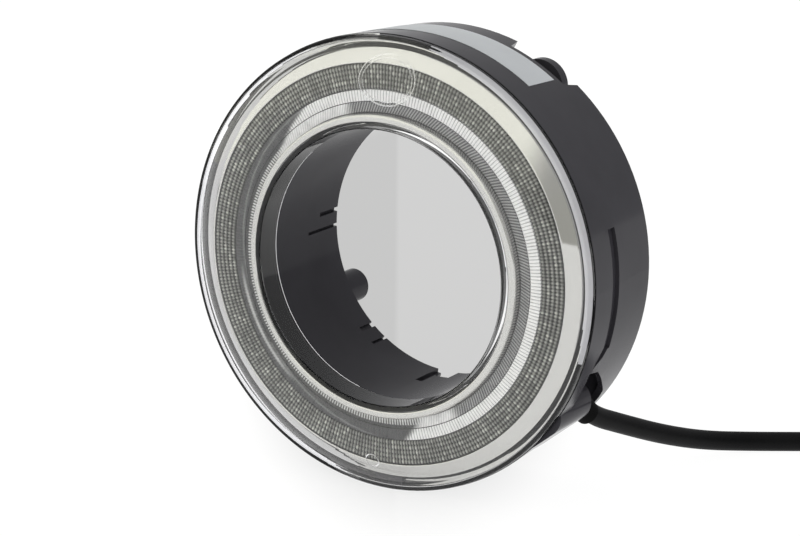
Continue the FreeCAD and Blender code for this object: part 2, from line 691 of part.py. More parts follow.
def main():
    os.makedirs("parts", exist_ok=True)

    save("housing", housing())
    save("outer_lens", outer_lens())
    save("outer_lens_seal", washer(71.5, 73.7, LEDGE_DEPTH, 6.0))
    save("inner_lens_seal", washer(46.9, 48.5, 5.5, 6.4))
    save("outer_bezel", outer_bezel())
    save("inner_bezel", inner_bezel())
    save("pillow_optic", pillow_optic())
    save("light_guide", light_guide())
    save("guide_carrier", guide_carrier())
    save("led_cup_reflector", cup_ring())

    save("circuit_board", circuit_board())
    pillow_angles = led_angles(PILLOW_LEDS)
    save("daytime_leds", *leds(PILLOW_LED_R, pillow_angles[0::2], 3.0))
    save("indicator_leds", *leds(PILLOW_LED_R, pillow_angles[1::2], 3.0))
    save("position_leds", *leds(GUIDE_LED_R, [30.0 * i for i in range(GUIDE_LEDS)], 2.2))
    save("driver_chips", *board_parts((180.0, 192.0, 240.0), 4.0, 5.0, 1.6, 68.9))
    save("power_inductors", *board_parts((168.5, 228.5), 3.8, 4.4, 2.8, 68.6))
    save("board_capacitors", *board_parts(CAPACITOR_ANGLES, 2.4, 3.2, 2.0, 68.6))
    save("board_resistors", *board_parts(RESISTOR_ANGLES, 1.6, 2.2, 0.6, 69.4))
    save("board_header", board_header())
    save("inner_leads", *[inner_lead(offset) for offset in LEAD_OFFSETS])
    save("thermal_pad", thermal_pad())
    save("heat_sink", heat_sink())
    save("board_screws", *[board_screw(angle) for angle in SCREW_ANGLES])

    save("threaded_inserts", *[threaded_insert(angle) for angle in BOLT_ANGLES])
    save("vent_membrane", rod(5.2, 44.0, 44.3, VENT_R, VENT_ANGLE))
    save("vent_cap", vent_cap())
    save("type_label", type_label())

    bundle = coil()
    route_start = [EXIT - (CABLE_ROUTE[1] - EXIT).normalize() * 0.2] + CABLE_ROUTE[1:]
    lead = tube(route_start, CABLE_R, "cable").common(
        Part.makeBox(400, 300, 200, Vector(0, PLATE_REAR - MOUNT_DEPTH, -150)))
    save("cable_grommet", grommet())
    save("strain_relief", strain_relief(lead))
    save("cable", lead.cut(bundle))
    save("cable_coil", bundle)
    save("cable_tail", tube(TAIL_ROUTE, CABLE_R, "cable_tail").cut(bundle))
    print("coil length", round(2 * math.pi * COIL_R * COIL_TURNS, 1))
    save("coil_ties", *[coil_tie(angle).cut(bundle) for angle in (55.0, 215.0)])

    save("plug_shell", plug_shell())
    save("plug_lock", plug_lock())
    save("terminal_holder", terminal_holder())
    save("plug_terminals", *terminals())
    save("mouth_seal", mouth_seal().cut(terminal_holder()))
    save("wire_seal", wire_seal())
    save("plug_boot", plug_boot())


main()
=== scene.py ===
import bpy
import math
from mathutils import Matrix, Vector


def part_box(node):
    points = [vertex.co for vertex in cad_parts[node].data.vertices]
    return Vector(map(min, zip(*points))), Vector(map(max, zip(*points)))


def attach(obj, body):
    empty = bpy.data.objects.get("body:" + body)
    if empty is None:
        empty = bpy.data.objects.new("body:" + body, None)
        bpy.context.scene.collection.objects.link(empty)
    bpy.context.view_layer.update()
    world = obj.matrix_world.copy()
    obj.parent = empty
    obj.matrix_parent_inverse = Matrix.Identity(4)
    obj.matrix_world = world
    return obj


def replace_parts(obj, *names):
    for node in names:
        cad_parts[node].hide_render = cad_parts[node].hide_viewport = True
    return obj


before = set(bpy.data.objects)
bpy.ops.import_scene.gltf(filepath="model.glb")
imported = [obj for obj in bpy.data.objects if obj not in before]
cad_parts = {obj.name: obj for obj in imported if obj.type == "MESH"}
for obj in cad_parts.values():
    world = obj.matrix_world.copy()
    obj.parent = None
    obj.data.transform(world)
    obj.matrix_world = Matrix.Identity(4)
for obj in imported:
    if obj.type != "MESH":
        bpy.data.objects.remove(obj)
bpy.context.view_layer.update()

# Places are given as in the CAD source: a radius, a clock angle (degrees clockwise
# from the top, seen from the front) and a depth behind the lens flange's front edge,
# all in millimetres.  The mounting faces lie in the plane y = 0.

MM = 0.001
MOUNT_DEPTH = 60.0
FLOOR_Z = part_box("outer_lens")[0].z
LAMP = "lamp"


def at(radius, angle, depth):
    turn = math.radians(angle)
    return Vector((radius * math.sin(turn), depth - MOUNT_DEPTH, radius * math.cos(turn))) * MM


def ease(t):
    """A smooth step from 0 to 1 while t goes from 0 to 1."""
    t = min(1.0, max(0.0, t))
    return t * t * (3 - 2 * t)


def fade(value, start, end):
    """A smooth step from 0 to 1 while the value goes from start to end."""
    return ease((value - start) / (end - start))


# Meshes

FILLET_REACH = 0.48  # the part of a side that a fillet may take at most


def arc(start, middle, end, steps):
    """Points of the circular arc through three (radius, depth) points, without its start."""
    (ax, ay), (bx, by), (cx, cy) = start, middle, end
    d = 2 * (ax * (by - cy) + bx * (cy - ay) + cx * (ay - by))
    a2, b2, c2 = ax * ax + ay * ay, bx * bx + by * by, cx * cx + cy * cy
    ux = (a2 * (by - cy) + b2 * (cy - ay) + c2 * (ay - by)) / d
    uy = (a2 * (cx - bx) + b2 * (ax - cx) + c2 * (bx - ax)) / d
    radius = math.hypot(ax - ux, ay - uy)
    first = math.atan2(ay - uy, ax - ux)
    through = (math.atan2(by - uy, bx - ux) - first) % math.tau
    sweep = (math.atan2(cy - uy, cx - ux) - first) % math.tau
    if through > sweep:
        sweep -= math.tau
    return [(ux + radius * math.cos(first + sweep * i / steps),
             uy + radius * math.sin(first + sweep * i / steps)) for i in range(1, steps + 1)]


def rounded(corners, steps):
    """A closed outline whose (radius, depth, fillet) corners are rounded."""
    outline = []
    count = len(corners)
    for i, (r, d, fillet) in enumerate(corners):
        here = Vector((r, d))
        if not fillet:
            outline.append((r, d))
            continue
        before = Vector(corners[i - 1][:2]) - here
        after = Vector(corners[(i + 1) % count][:2]) - here
        reach = min(fillet, before.length * FILLET_REACH, after.length * FILLET_REACH)
        start = here + before.normalized() * reach
        end = here + after.normalized() * reach
        for k in range(steps + 1):
            t = k / steps
            point = start * (1 - t) ** 2 + here * 2 * t * (1 - t) + end * t ** 2
            outline.append((point.x, point.y))
    return outline


def loop_faces(loops, count):
    """Faces between neighbouring loops of a closed band; each loop has count points."""
    faces = []
    for s in range(loops):
        after = (s + 1) % loops
        for i in range(count):
            j = (i + 1) % count
            faces.append((s * count + i, after * count + i, after * count + j, s * count + j))
    return faces


def finish_piece(mesh, name, material, sharp):
    mesh.materials.append(material)
    piece = bpy.data.objects.new(name, mesh)
    bpy.context.scene.collection.objects.link(piece)
    mesh.shade_smooth()
    mesh.set_sharp_from_angle(angle=math.radians(sharp))
    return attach(piece, LAMP)


def ring(name, outline, material, segments=384, shape=None, sharp=35, painted_light=None):
    """A turned piece: a closed outline of (radius, depth) points about the lamp's axis.

    For flutes and facets, shape(radius, depth, angle) gives a point's final radius,
    angle and depth, and a second function of the same gives the painted light and
    shade that its material reads.
    """
    points = []
    for s in range(segments):
        angle = 360.0 * s / segments
        for r, d in outline:
            points.append(at(*shape(r, d, angle)) if shape else at(r, angle, d))
    mesh = bpy.data.meshes.new(name)
    mesh.from_pydata(points, [], loop_faces(segments, len(outline)))
    mesh.validate()
    # An outline may run either way round: a negative area means that its faces point inwards.
    area = sum(a[0] * b[1] - b[0] * a[1] for a, b in zip(outline, outline[1:] + outline[:1]))
    if area < 0:
        mesh.flip_normals()
    # Painted light and shade, kept as a colour attribute.
    if painted_light:
        shades = mesh.color_attributes.new("painted_light", "FLOAT_COLOR", "POINT")
        values = []
        for s in range(segments):
            for r, d in outline:
                values += [painted_light(r, d, 360.0 * s / segments)] * 3 + [1.0]
        shades.data.foreach_set("color", values)
    return finish_piece(mesh, name, material, sharp)


# Materials

def new_material(name, color, roughness, metallic=0.0, ior=1.5):
    material = bpy.data.materials.new(name)
    material.use_nodes = True
    shader = material.node_tree.nodes["Principled BSDF"]
    shader.inputs["Base Color"].default_value = (*color, 1)
    shader.inputs["Roughness"].default_value = roughness
    shader.inputs["Metallic"].default_value = metallic
    shader.inputs["IOR"].default_value = ior
    return material


def add(material, kind, **values):
    """A new node in a material; each value is for one of its inputs or its own settings."""
    node = material.node_tree.nodes.new(kind)
    for key, value in values.items():
        if key in node.inputs:
            node.inputs[key].default_value = value
        else:
            setattr(node, key, value)
    return node


def shader_of(material):
    return material.node_tree.nodes["Principled BSDF"]


def noise(material, scale, detail=3.0):
    """Noise in the piece's own space, with its scale in cells per metre."""
    place = add(material, "ShaderNodeTexCoord")
    texture = add(material, "ShaderNodeTexNoise", Scale=scale, Detail=detail, Roughness=0.5)
    material.node_tree.links.new(place.outputs["Object"], texture.inputs["Vector"])
    return texture


def vary_color(material, texture, low, high):
    """The base colour runs between two colours with a texture."""
    ramp = add(material, "ShaderNodeValToRGB")
    ramp.color_ramp.elements[0].position = 0.3
    ramp.color_ramp.elements[0].color = (*low, 1)
    ramp.color_ramp.elements[1].position = 0.7
    ramp.color_ramp.elements[1].color = (*high, 1)
    links = material.node_tree.links
    links.new(texture.outputs[0], ramp.inputs["Fac"])
    links.new(ramp.outputs["Color"], shader_of(material).inputs["Base Color"])


def vary_roughness(material, texture, low, high):
    span = add(material, "ShaderNodeMapRange")
    span.inputs["To Min"].default_value = low
    span.inputs["To Max"].default_value = high
    links = material.node_tree.links
    links.new(texture.outputs[0], span.inputs["Value"])
    links.new(span.outputs["Result"], shader_of(material).inputs["Roughness"])


def bump(material, texture, strength, distance):
    node = add(material, "ShaderNodeBump", Strength=strength, Distance=distance)
    links = material.node_tree.links
    links.new(texture.outputs[0], node.inputs["Height"])
    links.new(node.outputs["Normal"], shader_of(material).inputs["Normal"])


def moulded(name, color, roughness, grain=0.00004, spread=0.15, ior=1.5):
    """Moulded plastic: slow colour drift, fine surface texture, uneven gloss.

    grain is the height of the surface texture in metres.
    """
    material = new_material(name, color, roughness, ior=ior)
    low = [c * (1 - spread) for c in color]
    high = [min(1, c * (1 + spread)) for c in color]
    vary_color(material, noise(material, scale=45.0), low, high)
    vary_roughness(material, noise(material, scale=160.0), roughness * 0.85, roughness * 1.15)
    bump(material, noise(material, scale=2200.0, detail=2.0), strength=0.25, distance=grain)
    return material


def metal(name, color, roughness, grain=0.0):
    material = new_material(name, color, roughness, metallic=1.0)
    vary_roughness(material, noise(material, scale=90.0), roughness * 0.8, roughness * 1.2)
    low = [c * 0.96 for c in color]
    vary_color(material, noise(material, scale=30.0), low, color)
    if grain:
        bump(material, noise(material, scale=1400.0), strength=0.3, distance=grain)
    return material


def clear(name, color, roughness=0.0):
    """Clear moulded plastic, with gloss that varies a little."""
    material = new_material(name, color, roughness, ior=1.42)
    shader_of(material).inputs["Transmission Weight"].default_value = 1.0
    vary_roughness(material, noise(material, scale=25.0), roughness, roughness + 0.012)
    return material


def faceted(name, dark, light, roughness, metallic, painted_glow):
    """Clear moulding over a reflector, with painted light and shade that come with the mesh.

    The last argument is the strength of a painted glow: an emission standing for light
    that the facets pick up elsewhere and show to the front.
    """
    material = new_material(name, light, roughness, metallic)
    shade = add(material, "ShaderNodeAttribute", attribute_name="painted_light")
    drift = noise(material, scale=300.0, detail=2.0)
    mixed = add(material, "ShaderNodeMath", operation="MULTIPLY")
    span = add(material, "ShaderNodeMapRange")
    span.inputs["To Min"].default_value = 0.6
    span.inputs["To Max"].default_value = 1.4
    ramp = add(material, "ShaderNodeValToRGB")
    ramp.color_ramp.elements[0].color = (*dark, 1)
    ramp.color_ramp.elements[1].color = (*light, 1)
    links = material.node_tree.links
    links.new(drift.outputs[0], span.inputs["Value"])
    links.new(shade.outputs["Fac"], mixed.inputs[0])
    links.new(span.outputs["Result"], mixed.inputs[1])
    links.new(mixed.outputs[0], ramp.inputs["Fac"])
    shader = shader_of(material)
    links.new(ramp.outputs["Color"], shader.inputs["Base Color"])
    # Painted glow: the painted light and shade also glow weakly.
    links.new(ramp.outputs["Color"], shader.inputs["Emission Color"])
    shader.inputs["Emission Strength"].default_value = painted_glow
    shader.inputs["IOR"].default_value = 1.3
    shader.inputs["Coat Weight"].default_value = 0.3
    shader.inputs["Coat Roughness"].default_value = 0.03
    return material


def painted_highlight(name, level, strength):
    """Painted highlights on edges of the lens: a grey level and the strength of a glow that stands
    for light it gathers.
    """
    material = moulded(name, (level, level, level * 1.02), 0.3, grain=0.00001)
    shader = shader_of(material)
    shader.inputs["Emission Color"].default_value = (0.96, 0.96, 1.0, 1)
    shader.inputs["Emission Strength"].default_value = strength
    return material


HOUSING = moulded("housing_plastic", (0.046, 0.0445, 0.0515), 0.13,
                  grain=0.00001, spread=0.10, ior=1.155)
# Black for the seam, and also the painted shade on the lens shell's dark faces.
WELD_AND_PAINTED_SHADE = moulded("weld_bead", (0.006, 0.006, 0.007), 0.5, grain=0.00001, ior=1.15)
# Painted highlight and painted soft light: glowing bands on the lens shell's edges.
PAINTED_HIGHLIGHT = painted_highlight("painted_highlight", level=0.88, strength=0.62)
PAINTED_SOFT_LIGHT = painted_highlight("painted_soft_light", level=0.30, strength=0.34)
LENS = clear("lens_plastic", (1.0, 1.0, 1.0))
shader_of(LENS).inputs["Specular IOR Level"].default_value = 0.12
MARK = clear("mark_plastic", (0.97, 0.97, 0.97), 0.02)
TRIM = metal("trim_chrome", (0.60, 0.597, 0.575), 0.05)
# Pillow and guide rings: painted light and shade from the mesh, with a weak painted glow.
PILLOW = faceted("pillow_plastic", (0.004, 0.005, 0.004), (0.86, 0.87, 0.80),
                 roughness=0.3, metallic=0.2, painted_glow=0.02)
GUIDE = faceted("guide_plastic", (0.012, 0.014, 0.016), (1.0, 1.0, 1.0),
                roughness=0.2, metallic=0.1, painted_glow=0.10)
RUBBER = moulded("seal_rubber", (0.02, 0.02, 0.02), 0.6, grain=0.0001)
JACKET = moulded("cable_jacket", (0.005, 0.005, 0.0055), 0.5, grain=0.00008, ior=1.2)


# Lens

LENS_SEGMENTS = 512
LENS_OUTER = ((75.0, -0.7), (60.5, -6.4), (47.2, -5.1))  # three points of each dome surface
LENS_INNER = ((48.4, -2.4), (60.5, -4.2), (73.2, 0.75))
OUTER_STEPS = 40
TUBE_INNER = 46.0
TUBE_OUTER = 48.4
TUBE_REAR = 5.5
TUBE_BEVEL = 0.2
TUBE_EDGE = 5.1               # depth where the painted highlight at the tube's rear edge begins
FLANGE_INNER = 74.2
FLANGE_REAR = 2.45

# Some faces of the shell carry painted shade, painted highlights and painted soft light, in their
# own
# materials: they stand for what its flange and tube refract or reflect.
CLEAR, BLACK, BRIGHT, SOFT = range(4)
FLANGE_R = 74.3               # parts the flange's faces from those of its inner corner
BLACK_R = 73.7                # where the bands of painted shade, highlight and soft light begin
BRIGHT_R = 72.0
SOFT_R = 73.3
SHADED_SIDE = (188.0, 358.0)  # clock angles where the flange's rounded edge has painted shade
GLINT_SIDE = (196.0, 318.0)   # clock angles where the tube's rear edge has a painted highlight
SOFT_SIDE_END = 170.0         # clock angle up to which the inner corner has painted soft light


def shell_painted_band(radius, depth, side):
    """Which painted band a face at this radius, depth and clock angle gets.

    BLACK is painted shade, BRIGHT a painted highlight, SOFT painted soft light and CLEAR none;
    the bands taper at their ends.
    """
    if SHADED_SIDE[0] < side < SHADED_SIDE[1]:
        start = 2.4 * fade(side, 200.0, 188.0)
        corner_fade = start + 2.4 * fade(side, 290.0, 350.0)
        if BRIGHT_R + corner_fade < radius < FLANGE_R and depth > 0.1:
            return BRIGHT
        edge_fade = start + 1.4 * fade(side, 275.0, 305.0) + fade(side, 343.0, 358.0)
        if radius > BLACK_R + edge_fade and depth < 1.0:
            return BLACK
    elif radius > FLANGE_R and depth > 2.0:
        return BLACK
    if radius < TUBE_INNER + 0.15 and depth > TUBE_EDGE and GLINT_SIDE[0] < side < GLINT_SIDE[1]:
        return BRIGHT
    if TUBE_OUTER - 0.1 < radius < TUBE_OUTER + 0.1 and depth > -1.4:
        return BLACK
    soft_fade = 1.1 * fade(side, 96.0, 112.0) + 1.1 * fade(side, 24.0, 8.0)
    if side < SOFT_SIDE_END and SOFT_R + soft_fade < radius < FLANGE_R and depth > 0.6:
        return SOFT
    return CLEAR


def lens():
    """The clear shell: flange, dome and inner tube."""
    outline = [(76.15, 2.3), (76.2, 1.9), (76.12, 1.2), (76.05, 0.5)]
    outline += arc(outline[-1], (75.75, -0.3), LENS_OUTER[0], 5)
    outline += arc(*LENS_OUTER, OUTER_STEPS)
    outline += arc(outline[-1], (46.3, -4.75), (TUBE_INNER, -3.9), 6)
    outline += [
        (TUBE_INNER, TUBE_EDGE), (TUBE_INNER, TUBE_REAR - TUBE_BEVEL),
        (TUBE_INNER + TUBE_BEVEL, TUBE_REAR), (TUBE_OUTER - TUBE_BEVEL, TUBE_REAR),
        (TUBE_OUTER, TUBE_REAR - TUBE_BEVEL), (TUBE_OUTER, -2.2), LENS_INNER[0],
    ]
    outline += arc(*LENS_INNER, 36)
    outline += arc(outline[-1], (73.9, 1.05), (FLANGE_INNER, 1.6), 4)
    outline += [(FLANGE_INNER, FLANGE_REAR), (76.0, FLANGE_REAR)]
    piece = ring("lens_shell", outline, LENS, LENS_SEGMENTS)
    # The shell's faces get their painted shade, painted highlights and painted soft light.
    for material in (WELD_AND_PAINTED_SHADE, PAINTED_HIGHLIGHT, PAINTED_SOFT_LIGHT):
        piece.data.materials.append(material)
    for face in piece.data.polygons:
        depth = face.center.y / MM + MOUNT_DEPTH
        radius = math.hypot(face.center.x, face.center.z) / MM
        side = math.degrees(math.atan2(face.center.x, face.center.z)) % 360
        face.material_index = shell_painted_band(radius, depth, side)
    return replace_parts(piece, "outer_lens")


def weld_bead():
    """Black seam along the edge where the lens meets the housing."""
    outline = [(76.21, 1.95), (76.32, 2.05), (76.32, 2.44), (76.21, 2.44)]
    return ring("weld_seam", outline, WELD_AND_PAINTED_SHADE, LENS_SEGMENTS)


LENS_MARKS = [  # centre's radius and clock angle, half width and half height, line width
    (62.9, 4.5, 10.3, 8.0, 0.5),
    (62.9, 4.5, 9.2, 6.9, 0.35),
    (65.0, 181.0, 2.4, 2.2, 0.4),
]


def lens_surface(r):
    """Depth of the dome's outer surface at a radius."""
    curve = [LENS_OUTER[0]] + arc(*LENS_OUTER, OUTER_STEPS)
    for (r1, d1), (r0, d0) in zip(curve, curve[1:]):
        if r0 <= r <= r1:
            return d0 + (d1 - d0) * (r - r0) / (r1 - r0)
    return curve[0][1]


def lens_mark(number, centre_r, angle, half_wide, half_high, width):
    """A plain oval embossed on the lens, where such a lens has its approval mark."""
    around = 96
    section = ((-0.5, 0.03), (-0.25, -0.06), (0.0, -0.09), (0.25, -0.06), (0.5, 0.03))
    turn = math.radians(angle)
    points = []
    for k in range(around):
        a = math.tau * k / around
        for across, sunk in section:
            x = centre_r * math.sin(turn) + (half_wide + across * width) * math.sin(a)
            z = centre_r * math.cos(turn) + (half_high + across * width) * math.cos(a)
            depth = lens_surface(math.hypot(x, z)) + sunk
            points.append(Vector((x, depth - MOUNT_DEPTH, z)) * MM)
    faces = [(a, d, c, b) for a, b, c, d in loop_faces(around, len(section))]
    mesh = bpy.data.meshes.new("lens_mark")
    mesh.from_pydata(points, [], faces)
    piece = finish_piece(mesh, "lens_mark_%d" % number, MARK, sharp=60)
    return piece


# Trim rings

def outer_trim():
    outline = rounded([
        (74.0, 4.2, 0.2), (74.0, 5.0, 0), (71.7, 5.0, 0), (71.7, 3.4, 0), (70.6, 3.4, 0),
        (68.1, 1.9, 0.3), (68.1, 8.0, 0), (66.7, 8.0, 0), (66.7, -0.5, 0.8),
        (71.75, 2.3, 0.5), (72.2, 4.2, 1.6),
    ], steps=8)
    piece = ring("outer_bezel_ring", outline, TRIM)
    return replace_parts(piece, "outer_bezel")


def inner_trim():
    outline = rounded([
        (50.9, 6.4, 0), (50.0, 6.4, 0), (50.0, -1.4, 0), (48.6, -1.4, 0.1),
        (48.6, -2.75, 1.6), (50.9, -2.75, 1.4),
    ], steps=10)
    piece = ring("inner_bezel_ring", outline, TRIM)
    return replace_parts(piece, "inner_bezel")


# Optics

PILLOW_ROWS = 5
PILLOW_COLUMNS = 340
PILLOW_INNER = 58.5
PILLOW_OUTER = 66.4
PILLOW_HEIGHT = 0.45
PILLOW_FRONT = -0.2
PILLOW_EDGE = PILLOW_FRONT + PILLOW_HEIGHT  # depth of the grooves between the pillows
PILLOW_SIDES = PILLOW_EDGE + 0.1            # points deeper than this aren't on a pillow


def scatter(i, j):
    """A fixed pseudo-random number from 0 to 1 for a cell."""
    return (math.sin(i * 12.9898 + j * 78.233) * 43758.5453) % 1.0


def pillow_cell(r, angle):
    """Row and column of a point, and its place in its pillow, from -1 to 1 along each."""
    row = (r - PILLOW_INNER) / (PILLOW_OUTER - PILLOW_INNER) * PILLOW_ROWS
    column = angle / 360.0 * PILLOW_COLUMNS
    return row, column, 2 * (row % 1) - 1, 2 * (column % 1) - 1


def pillow_ring():
    per_pillow = 5
    steps = PILLOW_ROWS * per_pillow
    front = [(PILLOW_INNER + (PILLOW_OUTER - PILLOW_INNER) * i / steps, PILLOW_EDGE)
             for i in range(steps + 1)]
    outline = front + [
        (66.5, PILLOW_EDGE + 0.2), (66.5, 9.0), (65.3, 9.0), (65.3, 1.9),
        (59.9, 1.9), (59.9, 9.0), (58.7, 9.0), (58.45, PILLOW_EDGE + 0.2),
    ]

    def pillows(r, d, angle):
        if d > PILLOW_SIDES:
            return r, angle, d
        *_, u, v = pillow_cell(r, angle)
        rise = (1 - u ** 4) * (1 - v ** 2)
        return r, angle, d - PILLOW_HEIGHT * rise

    def shade(r, d, angle):
        """Painted shade in the borders between the pillows, and painted glints;
        the middle of each has its own brightness.
        """
        if d > PILLOW_SIDES:
            return 0.1
        row, column, u, v = pillow_cell(r, angle)
        upright = math.cos(math.radians(angle)) ** 2
        across = (0.60 + 0.40 * upright) * (1 - ease(1.5 - 1.7 * abs(v)))
        along = (1.0 - 0.60 * upright) * (1 - ease(1.5 - 1.7 * abs(u)))
        chance = scatter(int(row), int(column))
        band = scatter(7, int(column) if upright > 0.5 else int(row) * 9 + int(column / 4))
        middle = max(0.0, 1 - across - along)
        # glint: a painted highlight on some pillows
        glint = 0.30 * ease((chance - 0.7) / 0.3)
        return 0.005 + middle * (0.26 + 0.18 * chance + 0.18 * band + glint)

    piece = ring("pillow_optic_ring", outline, PILLOW, PILLOW_COLUMNS * per_pillow,
                 shape=pillows, sharp=60, painted_light=shade)
    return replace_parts(piece, "pillow_optic")


# The guide's front has two fluted bands, given by their outer radii, and a plain groove between.
FLUTES = 330
OUTER_BAND_R = 58.2
OUTER_BAND_WIDTH = 3.6
INNER_BAND_R = 54.3
INNER_BAND_WIDTH = 3.15
GROOVE = (54.32, 54.58)  # radii that part the groove's points from those of the bands
LEAN = 0.45              # flutes per millimetre by which the inner band's flutes lean
GUIDE_SIDES = 2.5        # points deeper than this aren't on a band


def guide_ring():
    per_flute = 4
    outer = [(OUTER_BAND_R - OUTER_BAND_WIDTH * i / 8, 0.15 - 0.1 * math.sin(math.pi * i / 8))
             for i in range(9)]
    inner = [(INNER_BAND_R - INNER_BAND_WIDTH * i / 12, 0.2) for i in range(13)]
    outline = outer + [(54.55, 0.7), (54.35, 0.7)] + inner
    outline += [(inner[-1][0], 6.0), (53.0, 6.0), (53.4, 13.0),
                (56.2, 13.0), (56.6, 6.0), (OUTER_BAND_R, 6.0)]

    def flutes(r, d, angle):
        if d > GUIDE_SIDES:
            return r, angle, d
        phase = angle / 360.0 * FLUTES
        if r > GROOVE[1]:
            wave = abs(math.sin(math.pi * phase))
            return r, angle, d - 0.25 * wave
        if r < GROOVE[0]:
            wave = abs(math.sin(math.pi * (phase + (INNER_BAND_R - r) * LEAN)))
            return r, angle, d - 0.3 * wave
        return r, angle, d

    def shade(r, d, angle):
        """Painted light: bright stripes round the right side; painted highlights at the left:
        a thin ray, a streak and an edge.
        """
        if d > GUIDE_SIDES:
            return 0.2
        phase = angle / 360.0 * FLUTES
        side = (angle + 180.0) % 360.0 - 180.0
        inward = (OUTER_BAND_R - r) / OUTER_BAND_WIDTH
        # lit: the side of the ring that is painted as lit
        lit = ease((side + 33.0 + 12.0 * inward) / 7.0) * ease((173.0 - 4.0 * inward - side) / 5.0)
        left = angle - 180.0
        if r > GROOVE[1]:
            stripe = 0.90 + 0.62 * math.cos(math.tau * phase)
            ray_r = 57.6 - 0.07 * (left - 8.0) if left < 60.0 else 55.2 + 0.05 * (left - 95.0)
            ray = 0.16 * ease(1.0 - abs(r - ray_r) / 0.5) * ease(left / 8.0)
            streak = fade(left, 36.0, 50.0) * fade(left, 86.0, 72.0)
            shine = 0.55 * streak * ease(1.0 - abs(r - 56.1) / 0.9)
            return 0.06 + 1.1 * lit * stripe + (ray + shine) * (1 - lit)
        if r < GROOVE[0]:
            slanted = phase + (INNER_BAND_R - r) * LEAN
            stripe = 0.5 + 0.5 * math.cos(math.tau * slanted)
            right = fade(side, -17.0, -11.0) * fade(side, 152.0, 146.0)
            bright = lit * (1 - right)
            edge = ease((53.3 - r) / 0.2) * (1 - lit)
            glow = edge * (0.35 + 0.45 * math.cos(math.tau * phase))
            return 0.04 + bright * (0.6 + 0.4 * stripe) + 0.50 * right * stripe ** 2 + glow
        return 0.02

    piece = ring("light_guide_ring", outline, GUIDE, FLUTES * per_flute,
                 shape=flutes, sharp=50, painted_light=shade)
    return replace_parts(piece, "light_guide")


# Cable

CABLE_R = 3.4
ROUTE = [  # from the boss on the housing to the coil; the same points as in the CAD source
    tuple(at(70.7, 126.6, 24.4) / MM),
    (59.0, -26.0, -50.1), (63.0, -11.5, -56.3), (69.4, 6.5, -63.9), (76.6, 25.2, -70.2),
    (87.5, 40.5, -73.0), (105.5, 51.3, -73.0), (124.5, 60.8, -72.6),
]
COIL_CENTRE = (162.0, 38.0)
COIL_R = 37.5
COIL_TURNS = 10.0 / 3.0
COIL_PITCH = 7.0
COIL_START_Z = -72.0
COIL_START_ANGLE = 120.0
POINTS_PER_TURN = 24
TAIL = [
    (199.9, 25.0, -48.9), (199.5, 11.5, -54.0), (198.0, -1.0, -62.0), (196.8, -12.5, -66.9),
    (196.0, -23.0, -67.4),
]


def coil_points():
    points = []
    count = round(COIL_TURNS * POINTS_PER_TURN)
    for i in range(count + 1):
        turn = math.radians(COIL_START_ANGLE - 360.0 * COIL_TURNS * i / count)
        points.append((COIL_CENTRE[0] + COIL_R * math.cos(turn),
                       COIL_CENTRE[1] + COIL_R * math.sin(turn),
                       COIL_START_Z + COIL_PITCH * COIL_TURNS * i / count))
    return points


def cable():
    curve = bpy.data.curves.new("lead", "CURVE")
    curve.dimensions = "3D"
    route = ROUTE + coil_points() + TAIL
    spline = curve.splines.new("NURBS")
    spline.points.add(len(route) - 1)
    for point, place in zip(spline.points, route):
        point.co = (*(Vector(place) * MM), 1)
    spline.order_u = 3
    spline.use_endpoint_u = True
    spline.resolution_u = 8
    curve.bevel_depth = CABLE_R * MM
    curve.bevel_resolution = 8
    curve.use_fill_caps = True
    curve.materials.append(JACKET)
    piece = bpy.data.objects.new("lead", curve)
    bpy.context.scene.collection.objects.link(piece)
    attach(piece, LAMP)
    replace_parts(piece, "cable", "cable_coil", "cable_tail")
    return piece


# Finishes of the pieces carried over from CAD

